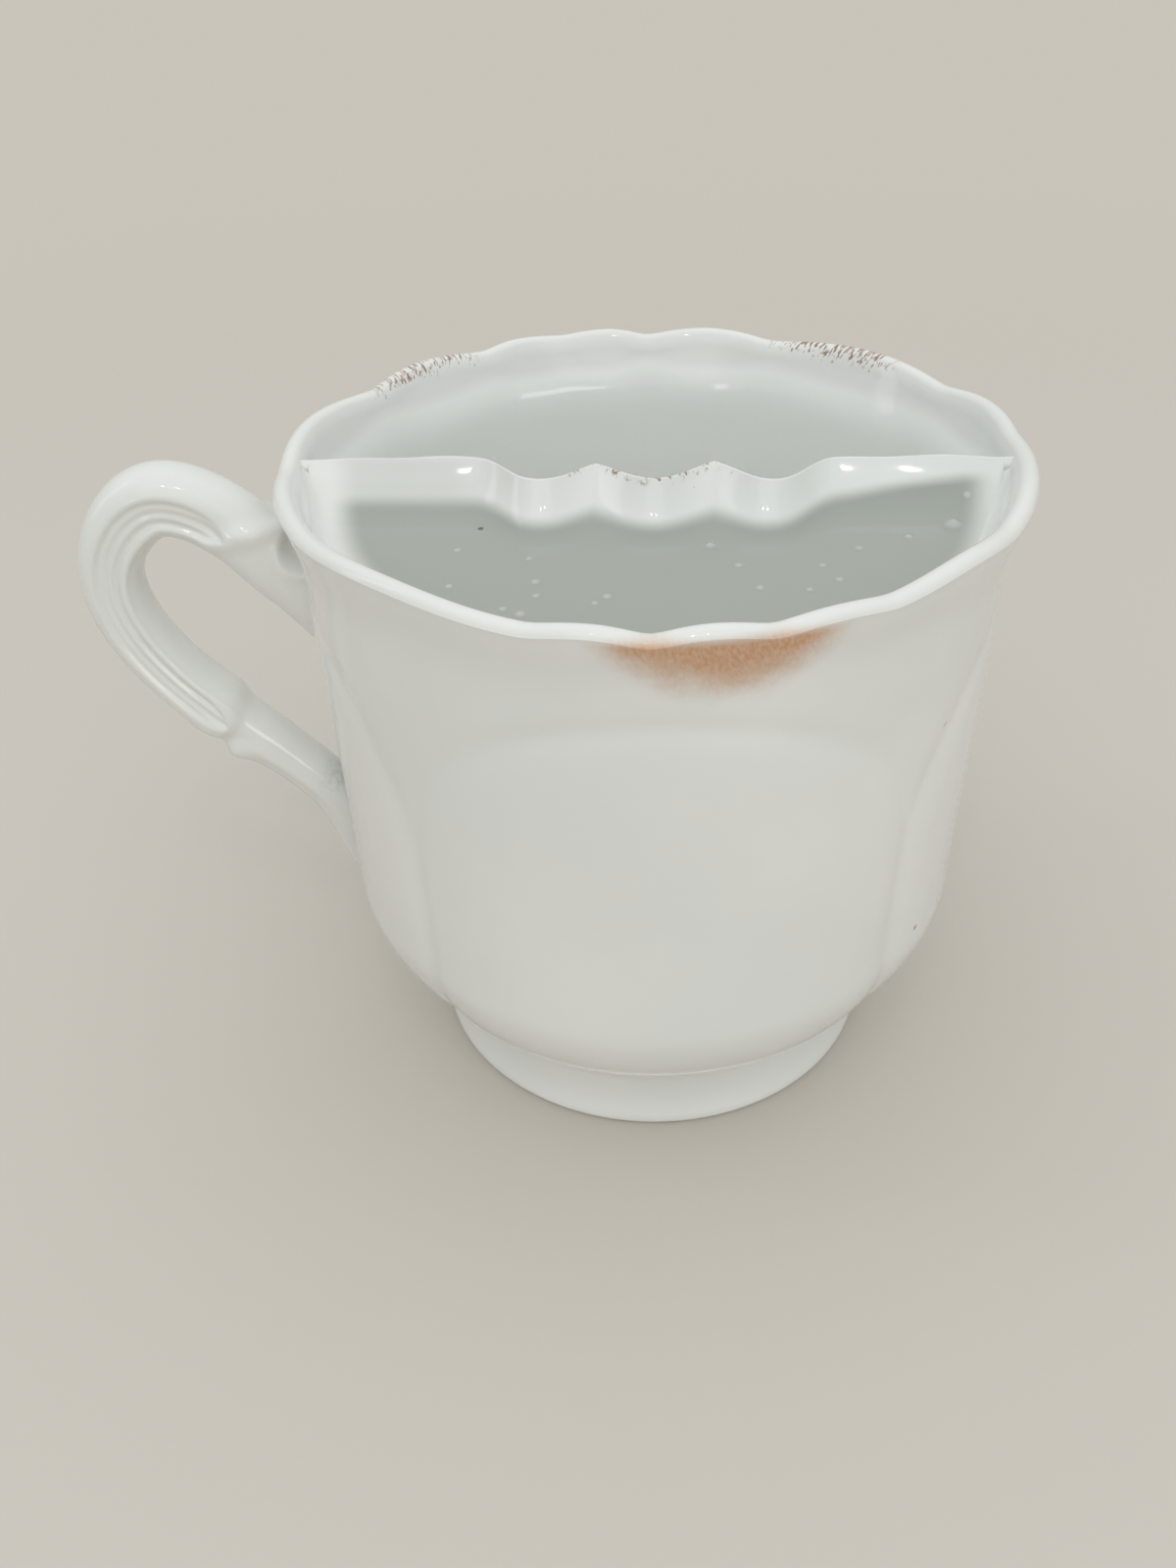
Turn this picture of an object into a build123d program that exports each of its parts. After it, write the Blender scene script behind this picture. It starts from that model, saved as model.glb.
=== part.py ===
from build123d import *
import os
from math import atan, copysign, cos, exp, pi, radians, sin

os.makedirs("parts", exist_ok=True)

# Driving dimensions, in millimetres and degrees.
# The origin is on the table under the cup's axis, the handle points to -X and the drinker sits at -Y.

# Body
cup_height = 86.5
rim_radius = 44.8
lip_flare = 0.9
lip_height = 12.0
lip_curve = 1.5
wall = 2.6
wall_lean = 2.8
wall_fullness = 1.7
belly_height = 28.0
bowl_tuck = 11.3
bowl_fullness = 1.8
floor_thickness = 4.0
floor_inset = 8.8

# Scalloped rim: the angle of each valley between its lobes, and its share of the full depth
lobe_valleys = [
    (3.0, 0.4), (28.0, 1.0), (67.0, 1.0), (92.0, 1.0), (128.0, 1.0), (152.0, 1.0),
    (186.0, 0.5), (210.0, 1.0), (255.0, 1.0), (271.0, 1.0), (301.0, 1.0), (332.0, 1.0),
]
back_swell = 1.2
front_swell = 0.5
lobe_rise = 1.1

# Pillow panels on the outside of the wall
panel_count = 4
panel_turn = 3.0
panel_swell = 0.6
panel_fullness = 4
panel_drop = 10.5
panel_arch = 28.0
panel_fade = 10.0

# Foot ring
foot_height = 9.0
foot_flare = 1.7
foot_wall = 4.0
foot_edge = 1.1

# Moustache guard
guard_thickness = 3.0
edge_drop = 1.4
lip_rise = 5.5
lip_width = 7.0
guard_slope = 0.06
wave_half_width = 21.5
dip_offset = 12.9
dip_depth = 5.2
crest_offset = 7.1
crest_depth = 1.2
notch_depth = 5.6
edge_round = 1.1
slot_width = 42.0
slot_depth = 9.0

# Handle
root_drop = 20.0
root_inset = 5.0
root_dip = -3.3
handle_reach = 25.8
handle_rise = 15.0
handle_turn = 4.4
root_thickness = 10.8
root_depth = 9.4
saddle_thickness = 8.6
crown_thickness = 9.0
bar_thickness = 7.6
bar_depth = 8.6
leaf_thickness = 8.6
stem_thickness = 6.4
stem_depth = 7.0
tail_height = 20.0
tail_thickness = 3.4
tail_depth = 4.4
section_fullness = 0.85
reed_depth = 0.5
reed_offset = 0.28
reed_width = 0.15

# Luting slip
lute = 0.5
lute_bead = 0.6

# How finely the curved sections are drawn
bowl_rings = 4
wall_rings = 5
inside_rings = 4
lip_rings = 3
rim_rings = 5
lobe_points = 3
handle_points = 28
handle_sections = 24
wave_sections = 25

shoulder_radius = rim_radius - lip_flare
belly_radius = shoulder_radius - wall_lean
neck_radius = belly_radius - bowl_tuck
floor_radius = neck_radius - floor_inset
foot_radius = neck_radius + foot_flare
floor_height = foot_height + floor_thickness
lobe_height = cup_height - lip_height
panel_top = cup_height - panel_drop
root_height = cup_height - root_drop


def ease(value):
    """Runs smoothly from 0 to 1 and stays there."""
    share = min(max(value, 0.0), 1.0)
    return share * share * (3.0 - 2.0 * share)


# Body

def outer_radius(height):
    """Radius of the plain outside of the wall."""
    if height < belly_height:
        share = (belly_height - height) / (belly_height - foot_height)
        return belly_radius - (belly_radius - neck_radius) * share**bowl_fullness
    share = (height - belly_height) / (cup_height - belly_height)
    flare = ease((height - lobe_height) / lip_height)
    return belly_radius + (shoulder_radius - belly_radius) * share**wall_fullness + (
        rim_radius - shoulder_radius
    ) * flare**2


def inner_radius(height):
    """Radius of the inside of the wall, rounded into the floor."""
    if height >= belly_height:
        return outer_radius(height) - wall
    share = (belly_height - height) / (belly_height - floor_height)
    side = belly_radius - wall
    return side - (side - floor_radius) * share**bowl_fullness


def lobe_places():
    """Angles of a section's points, each with its height on its lobe and the lobe's swell."""
    places = []
    first, first_depth = lobe_valleys[0]
    for (start, near), (end, far) in zip(lobe_valleys, lobe_valleys[1:] + [(first + 360.0, first_depth)]):
        swell = back_swell if (start + end) / 2.0 < 180.0 else front_swell
        for step in range(lobe_points):
            share = step / lobe_points
            depth = near if share < 0.5 else far
            crest = 1.0 - depth * (1.0 - sin(pi * share))
            places.append((start + (end - start) * share, crest, swell))
    return places


def lip_share(height):
    """How far the scallops have grown at this height, from 0 below the lip to 1 at the rim."""
    return ease((height - lobe_height) / lip_height) ** lip_curve


def pillow(angle, height):
    """Swell of the arch-topped panels, 0 along the creases between them."""
    pitch = 360.0 / panel_count
    across = (angle - panel_turn + pitch / 2.0) % pitch - pitch / 2.0
    climb = min(max(1.0 - (panel_top - height) / panel_arch, 0.0), 1.0)
    half_width = pitch / 2.0 * (1.0 - climb**2) ** 0.5
    if abs(across) >= half_width:
        return 0.0
    fade = ease((height - foot_height) / panel_fade) * (1.0 - climb**panel_fullness)
    return panel_swell * fade * (1.0 - (abs(across) / half_width) ** panel_fullness)


def closed_spline(points):
    """Smooth closed wire with evenly spaced knots, so that neighbouring sections loft cleanly."""
    knots = [float(knot) for knot in range(len(points) + 1)]
    return Wire([Edge.make_spline(points, periodic=True, parameters=knots)])


def ring(radius_at, height, share):
    """Section of the wall drawn round the axis, with its share of the rim's lobes."""
    points = []
    for angle, crest, swell in lobe_places():
        turn = radians(angle)
        radius = radius_at(angle) + swell * share * crest
        points.append((radius * cos(turn), radius * sin(turn), height + lobe_rise * share * (crest - 1.0)))
    return closed_spline(points)


def spaced(low, high, count):
    """Even steps from low to high, both ends included."""
    return [low + (high - low) * step / (count - 1) for step in range(count)]


bowl_heights = spaced(foot_height, belly_height, bowl_rings + 1)[:-1]
wall_heights = spaced(belly_height, panel_top, wall_rings + 1)[:-1]
lip_heights = spaced(panel_top, cup_height - wall, lip_rings)
outside_heights = bowl_heights + wall_heights + lip_heights
inside_heights = spaced(floor_height, belly_height, bowl_rings)[:-1]
inside_heights += spaced(belly_height, panel_top, inside_rings + 1)[:-1] + lip_heights


def make_body():
    """One skin: up the outside, over the rounded rim and down the inside to the floor."""
    skin = []
    for height in outside_heights:
        skin.append(ring(lambda angle: outer_radius(height) + pillow(angle, height), height, lip_share(height)))
    rim_middle = rim_radius - wall / 2.0
    rim_bottom = cup_height - wall / 2.0
    for turn in spaced(0.0, 180.0, rim_rings):
        radius = rim_middle + wall / 2.0 * cos(radians(turn))
        height = rim_bottom + wall / 2.0 * sin(radians(turn))
        skin.append(ring(lambda angle: radius, height, 1.0))
    for height in reversed(inside_heights):
        skin.append(ring(lambda angle: inner_radius(height), height, lip_share(height)))
    return Solid.make_loft(skin)


def full_form(radius_at, offset):
    """A side of the wall as a full solid, moved out or in by an offset and carried on above the rim."""
    rings = []
    for height in outside_heights:
        rings.append(ring(lambda angle: radius_at(angle, height) + offset, height, lip_share(height)))
    for height in (cup_height, cup_height + wall):
        rings.append(ring(lambda angle: radius_at(angle, cup_height) + offset, height, 0.0))
    return Solid.make_loft(rings)


def outside_form(offset):
    """The outside of the wall as a full solid."""
    return full_form(lambda angle, height: outer_radius(height) + pillow(angle, height), offset)


def inside_form(offset):
    """The inside of the upright wall as a full solid."""
    return full_form(lambda angle, height: outer_radius(height) - wall, offset)


cup_body = make_body()

# Foot ring

foot_top = foot_height - lute


def make_foot():
    """Flared ring that the cup stands on, upright at its neck."""
    inner_top = neck_radius - foot_wall
    inner_bottom = foot_radius - foot_wall
    flare = TangentArc([(neck_radius, foot_top), (foot_radius, foot_edge)], tangent=(0, -1))
    edge = RadiusArc((foot_radius, foot_edge), (foot_radius - foot_edge, 0), foot_edge)
    base = Line((foot_radius - foot_edge, 0), (inner_bottom + foot_edge, 0))
    heel = RadiusArc((inner_bottom + foot_edge, 0), (inner_bottom, foot_edge), foot_edge)
    inside = Line((inner_bottom, foot_edge), (inner_top, foot_top))
    top = Line((inner_top, foot_top), (neck_radius, foot_top))
    return revolve(Plane.XZ * make_face([flare, edge, base, heel, inside, top]), Axis.Z)


def make_foot_lute():
    """Flat ring of slip, squeezed out a little on both sides of the seam."""
    outer = Circle(neck_radius + lute_bead / 2.0)
    inner = Circle(neck_radius - foot_wall - lute_bead)
    return extrude(Plane.XY.offset(foot_top) * (outer - inner), lute)


foot_ring = make_foot()
foot_lute = make_foot_lute()

# Moustache guard

edge_height = cup_height - edge_drop
guard_reach = rim_radius + back_swell
wave_knots = [
    (0.0, -notch_depth),
    (crest_offset, -crest_depth),
    (dip_offset, -dip_depth),
    (wave_half_width, 0.0),
]


def edge_line(across):
    """Plan line of the free edge: half cosines from dip to crest, and straight beyond the moustache."""
    reach = abs(across)
    for (near, low), (far, high) in zip(wave_knots, wave_knots[1:]):
        if reach < far:
            share = (reach - near) / (far - near)
            return low + (high - low) * (1.0 - cos(pi * share)) / 2.0
    return 0.0


def guard_section(across, extra):
    """Section of the guard square to its edge: sloping floor, hollow lip and rounded nose."""
    steep = atan(2.0 * lip_rise / lip_width)
    nose = edge_round + extra
    nose_y = edge_line(across) - edge_round
    nose_z = edge_height - edge_round
    top = (across, nose_y - nose * sin(steep), nose_z + nose * cos(steep))
    tip = (across, nose_y + nose * cos(steep), nose_z + nose * sin(steep))
    under = (across, nose_y + nose * sin(steep), nose_z - nose * cos(steep))
    start_y = top[1] - lip_width
    bend_y = start_y + lip_width / 2.0
    floor_z = edge_height - lip_rise + extra
    base_z = floor_z - guard_thickness - 2.0 * extra
    back_drop = guard_slope * (start_y + guard_reach)
    floor_back = (across, -guard_reach, floor_z - back_drop)
    base_back = (across, -guard_reach, base_z - back_drop)
    floor_front = (across, start_y, floor_z)
    base_front = (across, start_y, base_z)
    return Wire(
        [
            Edge.make_line(floor_back, floor_front),
            Edge.make_bezier(floor_front, (across, bend_y, floor_z), top),
            Edge.make_three_point_arc(top, tip, under),
            Edge.make_bezier(under, (across, bend_y, base_z), base_front),
            Edge.make_line(base_front, base_back),
            Edge.make_line(base_back, floor_back),
        ]
    )


def guard_blank(extra):
    """The guard before it is fitted to the wall, thickened all round by extra."""
    places = spaced(-wave_half_width, wave_half_width, wave_sections)
    blank = Solid.make_loft([guard_section(place, extra) for place in places])
    for side in (-1, 1):
        end = Face(guard_section(side * wave_half_width, extra))
        blank = blank + Solid.extrude(end, (side * (guard_reach - wave_half_width), 0, 0))
    return blank


def make_slot():
    """Half-moon cutter for the drinking slot along the front wall."""
    reach = inner_radius(edge_height - lip_rise)
    half = slot_width / 2.0
    wall_y = -((reach**2 - half**2) ** 0.5)
    inner = ThreePointArc((-half, wall_y), (0, slot_depth - reach), (half, wall_y))
    outer = Polyline(inner @ 1, (half, -2.0 * reach), (-half, -2.0 * reach), inner @ 0)
    return extrude(make_face([inner, outer]), cup_height + lip_height)


slot = make_slot()
cavity = inside_form(-lute)
mid_wall = inside_form(wall / 2.0)
moustache_guard = guard_blank(0.0) & cavity
moustache_guard = moustache_guard - slot
guard_seam = ((guard_blank(lute_bead) & mid_wall) - cavity) - cup_body - slot

# Handle

def handle_path():
    """Centre line of the scroll: up from the root, over the loop and down the stem to the tail on the wall."""
    start = outer_radius(root_height)
    loop = [(0.24, 0.44), (0.49, 0.83), (0.71, 0.97), (0.90, 0.73), (1.0, 0.28)]
    loop += [(0.91, -0.42), (0.63, -1.08), (0.31, -1.63)]
    points = [(root_inset - start, 0, root_height + root_dip)]
    points += [(-start - handle_reach * out, 0, root_height + handle_rise * up) for out, up in loop]
    drop = points[-1][2] - tail_height
    for share, stand_off in ((0.69, 0.58), (0.43, 0.25), (0.19, 0.05), (0.0, -0.22)):
        height = tail_height + drop * share
        points.append((-outer_radius(height) - stem_thickness * stand_off, 0, height))
    return Edge.make_spline(points)


def full(value):
    """Swells a sine or cosine, which makes a round section squarer."""
    return copysign(abs(value) ** section_fullness, value)


def handle_section(path, place, thickness, depth, reed):
    """Rounded section of the handle, with two grooves on each side face where it is reeded."""
    tangent = path % place
    plane = Plane(path @ place, x_dir=Vector(0, 1, 0).cross(tangent), z_dir=tangent)
    points = []
    for step in range(handle_points):
        turn = 2.0 * pi * step / handle_points
        across = full(cos(turn))
        groove = exp(-(((abs(across) - reed_offset) / reed_width) ** 2))
        side = full(sin(turn)) * (depth / 2.0 - reed_depth * reed * groove)
        points.append(plane.from_local_coords((across * thickness / 2.0, side, 0)))
    return closed_spline(points)


# Places along the handle, with its thickness, depth and share of the reeds there
handle_sizes = [
    (0.00, root_thickness, root_depth, 0.0),
    (0.18, saddle_thickness, bar_depth, 0.0),
    (0.29, crown_thickness, bar_depth, 1.0),
    (0.43, bar_thickness, bar_depth, 1.0),
    (0.60, bar_thickness, bar_depth, 1.0),
    (0.67, leaf_thickness, bar_depth, 0.0),
    (0.74, stem_thickness, stem_depth, 0.0),
    (0.85, stem_thickness, stem_depth, 0.0),
    (1.00, tail_thickness, tail_depth, 0.0),
]


def handle_size(place):
    """Thickness, depth and reeds at a place along the handle, eased between the listed places."""
    for (near, *low), (far, *high) in zip(handle_sizes, handle_sizes[1:]):
        if place <= far:
            share = ease((place - near) / (far - near))
            return [start + (end - start) * share for start, end in zip(low, high)]


def handle_form(extra):
    """The whole handle before it is fitted to the wall, thickened all round by extra."""
    path = handle_path()
    sections = []
    for place in spaced(0.0, 1.0, handle_sections):
        thickness, depth, reed = handle_size(place)
        sections.append(handle_section(path, place, thickness + 2.0 * extra, depth + 2.0 * extra, reed))
    return Solid.make_loft(sections).rotate(Axis.Z, handle_turn)


seam_face = outside_form(lute)
handle = handle_form(0.0) - seam_face
handle_seam = ((handle_form(lute_bead) & seam_face) - inside_form(wall / 2.0)) - cup_body

pieces = {
    "cup_body": cup_body,
    "foot_ring": foot_ring,
    "foot_lute": foot_lute,
    "moustache_guard": moustache_guard,
    "guard_lute_left": guard_seam.solids().sort_by(Axis.X)[0],
    "guard_lute_right": guard_seam.solids().sort_by(Axis.X)[-1],
    "handle": handle,
    "handle_upper_lute": handle_seam.solids().sort_by(Axis.Z)[-1],
    "handle_lower_lute": handle_seam.solids().sort_by(Axis.Z)[0],
}
for name, piece in pieces.items():
    print(name, [round(solid.volume, 1) for solid in piece.solids()], piece.is_valid)
    export_step(piece, f"parts/{name}.step")
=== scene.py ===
from math import atan2, copysign, cos, degrees, exp, hypot, pi, radians, sin, sqrt

import bpy
from mathutils import Matrix, Vector


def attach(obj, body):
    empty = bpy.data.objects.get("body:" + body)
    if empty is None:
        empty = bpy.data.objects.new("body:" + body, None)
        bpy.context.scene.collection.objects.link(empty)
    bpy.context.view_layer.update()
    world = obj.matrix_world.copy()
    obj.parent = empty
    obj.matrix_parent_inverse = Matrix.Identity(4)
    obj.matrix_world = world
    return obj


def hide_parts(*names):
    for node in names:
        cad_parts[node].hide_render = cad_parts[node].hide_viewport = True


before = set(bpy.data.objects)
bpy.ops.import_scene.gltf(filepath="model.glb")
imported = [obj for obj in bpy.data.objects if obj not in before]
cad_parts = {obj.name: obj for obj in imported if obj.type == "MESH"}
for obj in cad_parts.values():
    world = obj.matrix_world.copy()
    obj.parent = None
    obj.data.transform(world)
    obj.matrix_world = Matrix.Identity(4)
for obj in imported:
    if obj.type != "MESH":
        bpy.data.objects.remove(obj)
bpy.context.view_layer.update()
mm = 0.001
print("frame loaded:", sorted(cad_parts))


# small sums that every piece uses

def ease(value):
    share = min(max(value, 0.0), 1.0)
    return share * share * (3 - 2 * share)


def fade(value, start, soft):    # 0 up to the start, 1 once it is past the soft stretch
    return ease((value - start) / soft)


def between(low, high, share):
    return low + (high - low) * share


def steps(low, high, count):
    return [between(low, high, step / (count - 1)) for step in range(count)]


def bell(distance, width):
    return exp(-(distance / width) ** 2)


def full(value, power):          # squares up a sine or cosine
    return copysign(abs(value) ** power, value)


def turnFrom(angle, middle):     # signed turn in degrees, from -180 to 180
    return (angle - middle + 180) % 360 - 180


def swept(start, middle, end, share):      # soft curve from start to end, drawn towards the middle
    return start * (1 - share) ** 2 + middle * 2 * share * (1 - share) + end * share ** 2


# modelling moves

def deselect():
    if bpy.context.object and bpy.context.object.mode == "EDIT":
        bpy.ops.object.mode_set(mode="OBJECT")
    bpy.ops.object.select_all(action="DESELECT")


def workOn(piece):
    deselect()
    piece.select_set(True)
    bpy.context.view_layer.objects.active = piece


def moveVertices(piece, place):  # place takes a point in mm and gives the new one
    for vertex in piece.data.vertices:
        vertex.co = Vector(place(vertex.co / mm)) * mm


def closeMesh(piece, doubles=0.004):
    bpy.ops.object.mode_set(mode="EDIT")
    bpy.ops.mesh.select_all(action="SELECT")
    bpy.ops.mesh.remove_doubles(threshold=doubles * mm)
    bpy.ops.mesh.normals_make_consistent(inside=False)
    bpy.ops.object.mode_set(mode="OBJECT")


def stackRings(name, rings, segments):
    # a circle, extruded ring by ring; each ring is a radius and a height in mm
    deselect()
    radius, height = rings[0]
    bpy.ops.mesh.primitive_circle_add(vertices=segments, radius=radius * mm, location=(0, 0, height * mm))
    piece = bpy.context.object
    piece.name = piece.data.name = name
    bpy.ops.object.transform_apply(location=True)
    bpy.ops.object.mode_set(mode="EDIT")
    bpy.ops.mesh.select_all(action="SELECT")
    for (nearRadius, nearHeight), (farRadius, farHeight) in zip(rings, rings[1:]):
        grow = farRadius / nearRadius
        rise = (farHeight - nearHeight) * mm
        bpy.ops.mesh.extrude_region_move(TRANSFORM_OT_translate={"value": (0, 0, rise)})
        bpy.ops.transform.resize(value=(grow, grow, 1), center_override=(0, 0, 0))
    bpy.ops.object.mode_set(mode="OBJECT")
    return piece


def fillLoop(piece, test):       # fills the open loop of the vertices whose numbers pass the test
    workOn(piece)
    bpy.ops.object.mode_set(mode="EDIT")
    bpy.ops.mesh.select_all(action="DESELECT")
    bpy.ops.mesh.select_mode(type="VERT")
    bpy.ops.object.mode_set(mode="OBJECT")
    for vertex in piece.data.vertices:
        vertex.select = test(vertex.index)
    bpy.ops.object.mode_set(mode="EDIT")
    bpy.ops.mesh.edge_face_add()
    bpy.ops.object.mode_set(mode="OBJECT")


def tubeGrid(name, around, along):
    # a flat grid that wraps into a tube; its x runs round the section and its y along the length
    deselect()
    bpy.ops.mesh.primitive_grid_add(x_subdivisions=around, y_subdivisions=along, size=2)
    piece = bpy.context.object
    piece.name = piece.data.name = name
    return piece


def shares(point):               # grid point in mm to its two shares from 0 to 1
    return (point.x * mm + 1) / 2, (point.y * mm + 1) / 2


def closeEnds(piece):            # merges the seam of a tube and fills its open ends
    closeMesh(piece)
    bpy.ops.object.mode_set(mode="EDIT")
    bpy.ops.mesh.select_mode(type="EDGE")
    bpy.ops.mesh.select_all(action="DESELECT")
    openOnly = {"use_wire": False, "use_multi_face": False, "use_non_contiguous": False, "use_verts": False}
    bpy.ops.mesh.select_non_manifold(extend=False, **openOnly)
    bpy.ops.mesh.fill_holes(sides=0)
    bpy.ops.object.mode_set(mode="OBJECT")
    closeMesh(piece)


def finishPiece(piece, node, glaze, angle=60):
    workOn(piece)
    bpy.ops.object.shade_smooth_by_angle(angle=radians(angle))
    piece.data.materials.clear()
    piece.data.materials.append(glaze)
    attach(piece, "root")
    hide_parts(node)
    print("made", piece.name, len(piece.data.polygons), "faces")


# shader sums

class Signal:                    # a socket that takes part in sums
    def __init__(self, finish, socket):
        self.finish = finish
        self.socket = socket

    def sum(self, operation, other=0.0, swap=False):
        first, second = (other, self) if swap else (self, other)
        return self.finish.node("ShaderNodeMath", {"operation": operation}, {0: first, 1: second})

    def __add__(self, other):
        return self.sum("ADD", other)

    def __sub__(self, other):
        return self.sum("SUBTRACT", other)

    def __rsub__(self, other):
        return self.sum("SUBTRACT", other, swap=True)

    def __mul__(self, other):
        return self.sum("MULTIPLY", other)

    def __truediv__(self, other):
        return self.sum("DIVIDE", other)

    def __pow__(self, other):
        return self.sum("POWER", other)

    def __abs__(self):
        return self.sum("ABSOLUTE")

    __radd__ = __add__
    __rmul__ = __mul__

    def within(self, low, high):     # eases from 0 at low to 1 at high, which may be the lower number
        span = {"interpolation_type": "SMOOTHSTEP"}
        return self.finish.node("ShaderNodeMapRange", span, {0: self, 1: low, 2: high, 3: 0.0, 4: 1.0})


class Finish:                    # a material, or the world's light, built from nodes
    def __init__(self, name, block=None):
        self.material = block or bpy.data.materials.new(name)
        self.material.use_nodes = True
        self.tree = self.material.node_tree
        self.tree.nodes.clear()

    def node(self, kind, settings=None, sockets=None, output=0):
        made = self.tree.nodes.new(kind)
        for key, value in (settings or {}).items():
            setattr(made, key, value)
        for key, value in (sockets or {}).items():
            if isinstance(value, Signal):
                self.tree.links.new(value.socket, made.inputs[key])
            else:
                made.inputs[key].default_value = value
        return Signal(self, made.outputs[output]) if len(made.outputs) else made

    def mixColour(self, share, first, second):   # sockets 6 and 7 are the Mix node's colours
        kind = {"data_type": "RGBA"}
        return self.node("ShaderNodeMix", kind, {0: share, 6: first, 7: second}, output=2)

    def place(self):             # object coordinates in mm, whole and as x, y and z
        point = self.node("ShaderNodeTexCoord", output=3)
        scaled = self.node("ShaderNodeVectorMath", {"operation": "SCALE"}, {0: point, 3: 1 / mm})
        parts = [self.node("ShaderNodeSeparateXYZ", None, {0: scaled}, output=axis) for axis in range(3)]
        return scaled, parts

    def noise(self, point, scale, detail=3.0, rough=0.6):
        sockets = {"Vector": point, "Scale": scale, "Detail": detail, "Roughness": rough}
        return self.node("ShaderNodeTexNoise", None, sockets)

    def away(self, point, place):    # distance from a place in mm
        return self.node("ShaderNodeVectorMath", {"operation": "DISTANCE"}, {0: point, 1: place}, output=1)

    def spots(self, point, spots):   # 1 in the middle of each spot, given by its place in mm and its radius
        return sum(self.away(point, place).within(radius, radius * 0.4) for place, radius in spots)


def window(signal, low, high, soft):   # 1 between low and high
    return signal.within(low - soft, low + soft) * signal.within(high + soft, high - soft)


def reachOf(x, y):               # distance from the cup's axis
    return (x * x + y * y) ** 0.5


glazeLook = {
    # two whites in a soft cloud, and a paler white inside the bowl, which is painted light standing in for
    # light that comes through the wall
    "white": (0.81, 0.808, 0.785, 1),
    "cool": (0.765, 0.78, 0.755, 1),
    "inner": (0.92, 0.935, 0.905, 1),
    "cloudScale": 0.03,
    "cloudSpan": (0.35, 0.7),
    # glaze pooled on the guard's floor, darkened further as painted shade
    "pooledGlazeAndShade": (0.315, 0.342, 0.308, 1),
    "roughness": 0.08,
    "wornRoughness": 0.3,
    "ior": 1.5,
    "coat": 0.25,
    "coatRoughness": 0.03,
    # slow waves left in the surface by firing
    "ripple": 0.08,
    "rippleScale": 0.12,
    "rippleDepth": 0.0006,
    # marks
    "rust": (0.27, 0.115, 0.05, 1),
    "smudge": (0.56, 0.28, 0.115, 1),
    "dark": (0.05, 0.04, 0.035, 1),
    "soil": (0.2, 0.19, 0.16, 1),
    "flawShare": 0.8,
}


def makeGlaze(name, paint=None):
    glaze = Finish(name)
    point, (x, y, z) = glaze.place()
    cloud = glaze.noise(point, glazeLook["cloudScale"], rough=0.5).within(*glazeLook["cloudSpan"])
    colour = glaze.mixColour(cloud, glazeLook["white"], glazeLook["cool"])
    roughness = glazeLook["roughness"]
    if paint:
        colour, worn = paint(glaze, colour, point, x, y, z)
        roughness = worn * glazeLook["wornRoughness"] + roughness
    ripple = glaze.noise(point, glazeLook["rippleScale"], detail=2.0, rough=0.5)
    relief = {"Strength": glazeLook["ripple"], "Distance": glazeLook["rippleDepth"], "Height": ripple}
    sockets = {
        "Base Color": colour,
        "Roughness": roughness,
        "IOR": glazeLook["ior"],
        "Coat Weight": glazeLook["coat"],
        "Coat Roughness": glazeLook["coatRoughness"],
        "Normal": glaze.node("ShaderNodeBump", None, relief),
    }
    shader = glaze.node("ShaderNodeBsdfPrincipled", None, sockets)
    glaze.node("ShaderNodeOutputMaterial", None, {0: shader})
    print("mixed", name)
    return glaze.material


def paintFlaws(glaze, colour, point, flaws):
    return glaze.mixColour(glaze.spots(point, flaws) * glazeLook["flawShare"], colour, glazeLook["dark"])


plainGlaze = makeGlaze("plainGlaze")


# body: bowl, upright wall and scalloped rim, all in mm and degrees
body = {
    "height": 86.5,
    "crestBack": 46.1,
    "crestFront": 45.3,
    "lipRadius": 44.8,
    "shoulderRadius": 43.9,
    "bellyRadius": 41.1,
    "bellyHeight": 28.0,
    "neckRadius": 29.8,
    "footHeight": 9.0,
    "wall": 2.6,
    "floorRadius": 21.0,
    "floorHeight": 13.0,
    "lipHeight": 12.0,
    "lipCurve": 1.5,
    "bowlFullness": 1.8,
    "wallFullness": 1.7,
    # scallops: inward and downward dip of a full valley, at the back and at the drinker's side
    "lobeSwell": (1.2, 0.35),
    "lobeDip": (1.1, 1.3),
    "backBlend": 0.25,
    "rimDrop": 0.4,
    # where the rim stands higher and further in: angle, spread, rise and inset
    "rimLifts": [(232, 15, 0.45, 0.35), (318, 10, 0.3, 0.2)],
    # valley angle and its depth, as a share of the swell and the dip
    "valleys": [
        (7, 0.4), (30, 0.65), (68, 0.7), (92, 0.7), (108, 0.25), (124, 0.55), (150, 0.75),
        (186, 0.5), (210, 0.3), (255, 0.5), (271, 0.8), (287, 0.6), (304, 0.45), (332, 0.5),
    ],
    "valleyRound": 0.2,
    # arch-topped panels with a groove along their outline
    "panels": 4,
    "panelTurn": 3.0,
    "panelSwell": 0.9,
    "panelFullness": 4,
    "panelTop": 73.5,
    "panelShoulder": 46.0,
    "panelFade": 10.0,
    "panelGroove": 0.2,
    "grooveWidth": 1.5,
    # how finely it is drawn
    "segments": 288,
    "underside": [2.0, 12.0, 24.0],
    "bowlFloor": [16.0, 9.0, 2.0],
    "closeRingsFrom": 70.0,
    "bowlRings": 22,
    "wallRings": 30,
    "lipRings": 18,
    "rimRings": 13,
    "insideRings": 20,
}
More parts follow.
